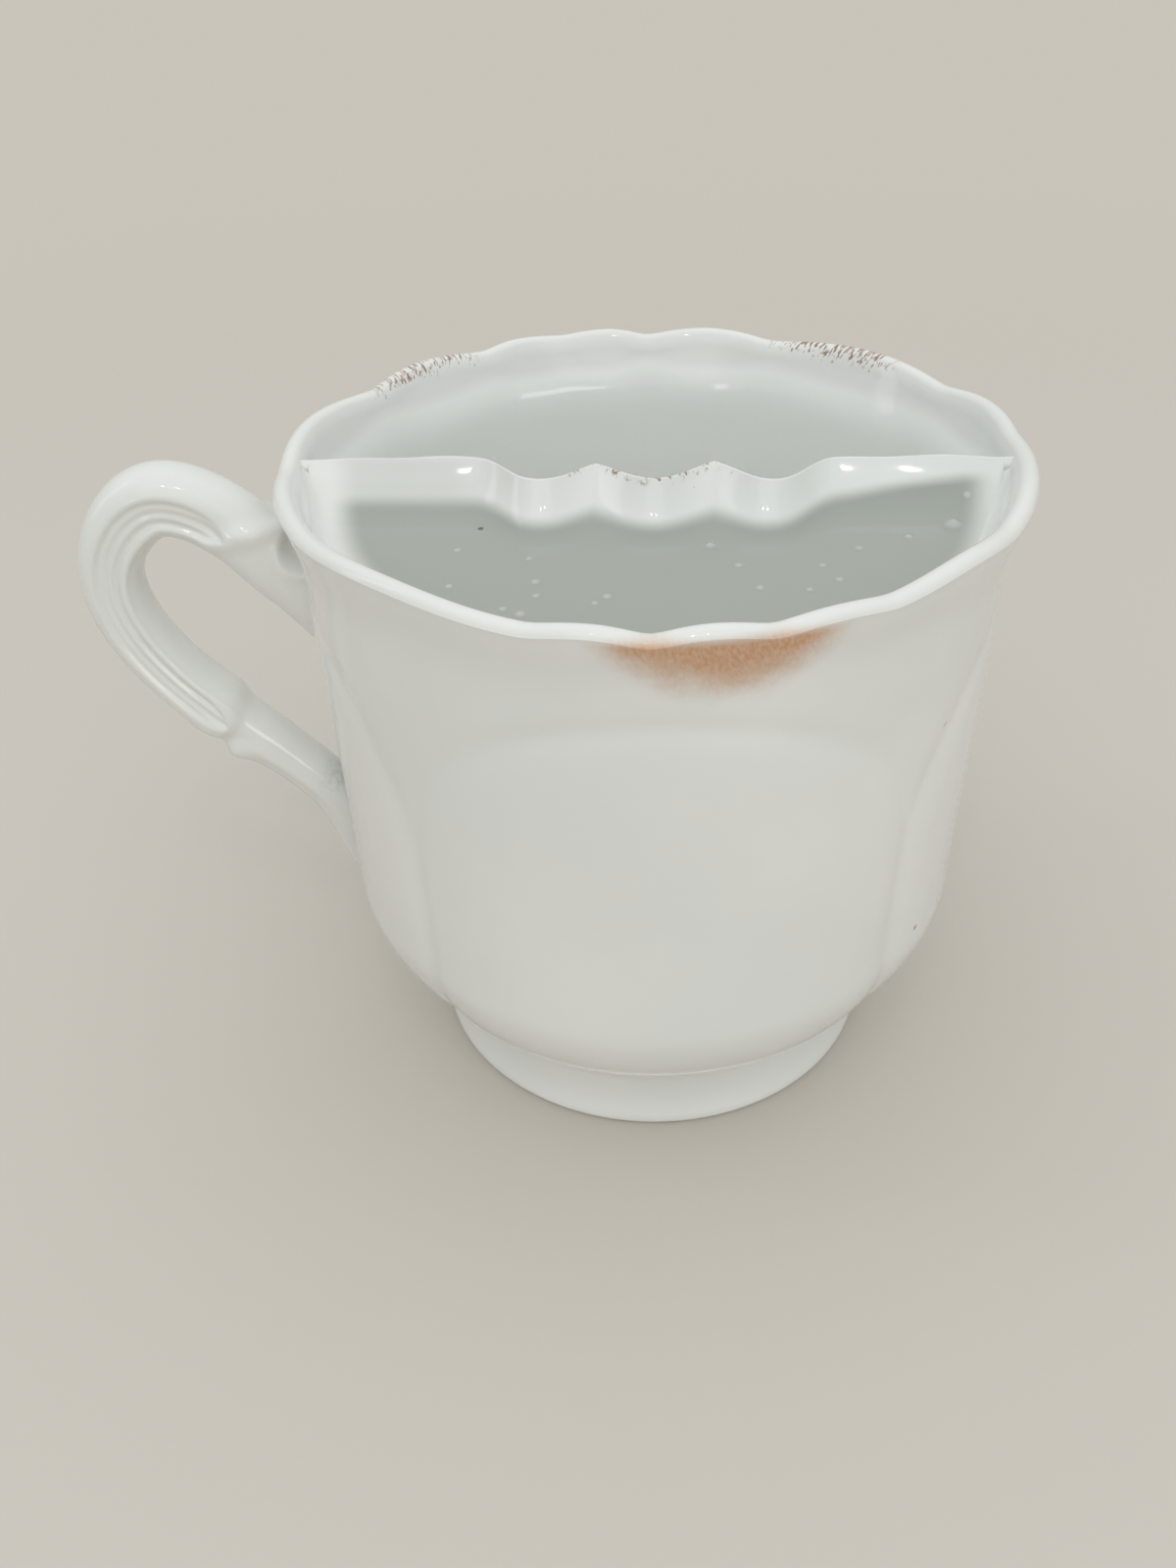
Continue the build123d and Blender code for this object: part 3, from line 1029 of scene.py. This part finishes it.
def handlePoint(around, place):
    thickness, depth = handleSize(place)
    ahead = handleAhead(place)
    turn = 2 * pi * around
    across, side = full(cos(turn), handle["fullness"]), full(sin(turn), handle["fullness"])
    reeds = handle["reedDepth"] * cos(2 * pi * (across + handle["reedShift"]) / handle["reedPitch"])
    deep = depth / 2 - channelShare(place, across) * (handle["channelDepth"] + reeds)
    relief = handleRelief(place, turn, across)
    outward = Vector((ahead.y, -ahead.x))     # towards the outside of the loop
    flat = handleLine(place) + outward * (across * thickness / 2 + relief * cos(turn))
    return flat.x, side * deep + relief * sin(turn), flat.y


def bent(point):                 # turns a point of the handle's plane round the cup's axis
    return Matrix.Rotation(radians(handle["turn"]), 3, "Z") @ Vector(point)


def makeHandle():
    piece = tubeGrid("handleScroll", handle["around"], handle["along"])

    def shape(point):
        u, v = shares(point)
        return bent(handlePoint(u, v * handle["end"]))

    moveVertices(piece, shape)
    closeEnds(piece)
    finishPiece(piece, "handle", makeGlaze("handleGlaze", paintHandle))


makeHandle()


# slip pressed out round the root and the tail of the handle
handleLute = {
    # where to look for the wall along the handle, from inside it to outside
    "upper": (0.0, 0.17),
    "lower": (handle["end"], 0.7),
    # half width along the wall and half height off it
    "bead": (0.6, 0.315),
    "around": 12,
    "along": 160,
}


def wallMeets(around, inside, outside):  # where one line along the handle goes into the wall
    def depthAt(place):
        point = Vector(handlePoint(around, place))
        angle = degrees(atan2(point.y, point.x))
        return hypot(point.x, point.y) - outerRadius(point.z) - pillow(angle + handle["turn"], point.z)

    if depthAt(inside) > 0:
        return Vector(handlePoint(around, inside))
    for step in range(30):       # halves the stretch
        middle = (inside + outside) / 2
        if depthAt(middle) < 0:
            inside = middle
        else:
            outside = middle
    return Vector(handlePoint(around, outside))


def makeHandleLute(name, node, inside, outside):
    count = handleLute["along"]
    wide, high = handleLute["bead"]
    loop = [bent(wallMeets(number / count, inside, outside)) for number in range(count)]
    middle = sum(loop, Vector()) / count
    away = Vector((middle.x, middle.y, 0)).normalized()
    piece = tubeGrid(name, handleLute["around"], count)

    def shape(point):
        u, v = shares(point)
        place = round(v * count) % count
        ahead = (loop[(place + 2) % count] - loop[place - 2]).normalized()
        across = ahead.cross(away).normalized()
        swing = 2 * pi * u
        return loop[place] + wide * cos(swing) * across + high * sin(swing) * away

    moveVertices(piece, shape)
    closeMesh(piece)
    finishPiece(piece, node, plainGlaze)


makeHandleLute("handleUpperLute", "handle_upper_lute", *handleLute["upper"])
makeHandleLute("handleLowerLute", "handle_lower_lute", *handleLute["lower"])


# stage, light and camera
stage = {
    "floor": (0.60, 0.555, 0.50, 1),
    "floorRoughness": 0.7,
    "floorSize": 12.0,
    # the floor turns into the backdrop between these distances
    "backdrop": (0.585, 0.555, 0.49, 1),
    "fade": (0.16, 0.55),
    # light from above, weaker near the horizon
    "sky": (0.965, 1.0, 0.995, 1),
    "skyLow": 0.12,
    "skyHigh": 1.1,
    "skySpan": (0.05, 0.8),
    "lampAim": (0, 0, 0.05),
}
# name, place in metres, width, height and power
lamps = [
    ("frontPanel", (0.05, -0.85, 0.85), 1.3, 1.0, 1.8),
    ("leftBulb", (-0.12, -0.64, 1.06), 0.035, 0.035, 0.26),
    ("rightBulb", (0.13, -0.64, 1.06), 0.035, 0.035, 0.26),
    ("leftWindow", (-0.75, 0.02, 0.5), 0.14, 0.7, 0.25),
    ("rightPane", (0.75, -1.1, 0.2), 0.8, 0.3, 1.7),
    ("leftPane", (-0.54, -1.1, 0.2), 0.13, 0.3, 0.3),
]
# place in mm, turns in degrees
view = {
    "spot": (3.177, -157.802, 150.573),
    "pan": 4.4,
    "tilt": 36.0,
    "roll": 1.913,
    "lens": 31.5,
    "sensor": 36,
    "clipStart": 0.01,
}


def seenRays(finish):            # 1 where the camera or a reflection looks
    kinds = ("Is Camera Ray", "Is Glossy Ray", "Is Transmission Ray")
    return sum(finish.node("ShaderNodeLightPath", output=kind) for kind in kinds)


def makeFloor():
    deselect()
    bpy.ops.mesh.primitive_plane_add(size=stage["floorSize"])
    floor = bpy.context.object
    floor.name = "floor"
    paint = Finish("floorPaint")
    point, (x, y, z) = paint.place()
    near, far = (edge / mm for edge in stage["fade"])
    away = reachOf(x, y).within(near, far) * seenRays(paint)
    surface = {"Base Color": stage["floor"], "Roughness": stage["floorRoughness"]}
    shader = paint.node("ShaderNodeBsdfPrincipled", None, surface)
    glow = paint.node("ShaderNodeEmission", None, {"Color": stage["backdrop"], "Strength": 1.0})
    both = paint.node("ShaderNodeMixShader", None, {0: away, 1: shader, 2: glow})
    paint.node("ShaderNodeOutputMaterial", None, {0: both})
    floor.data.materials.append(paint.material)


def makeSky():
    world = bpy.data.worlds.new("studio")
    dome = Finish("studio", world)
    ray = dome.node("ShaderNodeTexCoord")
    up = dome.node("ShaderNodeSeparateXYZ", None, {0: ray}, output=2)
    strength = up.within(*stage["skySpan"]) * (stage["skyHigh"] - stage["skyLow"]) + stage["skyLow"]
    sky = dome.node("ShaderNodeBackground", None, {"Color": stage["sky"], "Strength": strength})
    plain = dome.node("ShaderNodeBackground", None, {"Color": stage["backdrop"], "Strength": 1.0})
    both = dome.node("ShaderNodeMixShader", None, {0: seenRays(dome), 1: sky, 2: plain})
    dome.node("ShaderNodeOutputWorld", None, {0: both})
    bpy.context.scene.world = world


def makeLamps():
    for name, place, width, height, power in lamps:
        bpy.ops.object.light_add(type="AREA", location=place)
        lamp = bpy.context.object
        lamp.name = name
        lamp.data.shape = "RECTANGLE"
        lamp.data.size, lamp.data.size_y = width, height
        lamp.data.energy = power
        aim = Vector(stage["lampAim"]) - Vector(place)
        lamp.rotation_euler = aim.to_track_quat("-Z", "Y").to_euler()


def makeCamera():
    bpy.ops.object.camera_add()
    camera = bpy.context.object
    camera.name = "photoCamera"
    camera.data.lens = view["lens"]
    camera.data.sensor_width = view["sensor"]
    camera.data.clip_start = view["clipStart"]
    pan = Matrix.Rotation(radians(view["pan"]), 4, "Z")
    tilt = Matrix.Rotation(radians(90 - view["tilt"]), 4, "X")
    roll = Matrix.Rotation(radians(-view["roll"]), 4, "Z")
    camera.matrix_world = Matrix.Translation(Vector(view["spot"]) * mm) @ pan @ tilt @ roll
    bpy.context.scene.camera = camera


makeFloor()
makeSky()
makeLamps()
makeCamera()
bpy.context.scene.view_settings.view_transform = "Standard"
print("stage, light and camera set")
